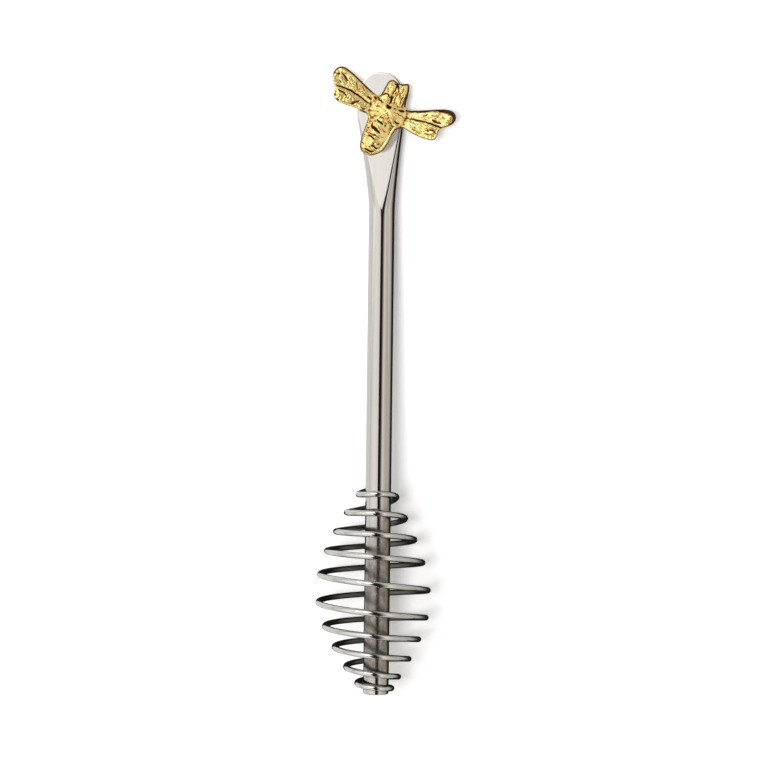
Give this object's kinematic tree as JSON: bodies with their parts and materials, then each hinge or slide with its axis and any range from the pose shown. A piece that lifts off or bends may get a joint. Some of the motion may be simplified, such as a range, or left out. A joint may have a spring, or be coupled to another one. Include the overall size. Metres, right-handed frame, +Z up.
{
  "type": "honey dipper",
  "caption": "Steel honey dipper: round rod with an open spindle-shaped wire coil at its foot and a forged paddle that carries a small cast bee.",
  "frame": {"origin": "on the table under the middle of the dipper's bounding box, with the dipper lying at rest on the back of the paddle and the widest turn of the coil", "axes": "+Z up from the table; +Y along the dipper towards the paddle; +X to the right, seen from above with the paddle away; the bee faces up"},
  "size_m": [0.037, 0.1699, 0.0312],
  "materials": {
    "handle_steel": "polished stainless steel with faint draw lines",
    "wire_steel": "bright drawn spring wire",
    "weld_steel": "cleaned weld bead",
    "gilded_brass": "gold-plated casting, dark in its recesses",
    "rivet_brass": "filed flush"
  },
  "bodies": {
    "root": {"handle": "handle_steel", "dipper_coil": "wire_steel", "weld_upper": "weld_steel", "weld_lower": "weld_steel", "bee_casting": "gilded_brass", "bee_rivets": "rivet_brass"}
  },
  "joints": []
}
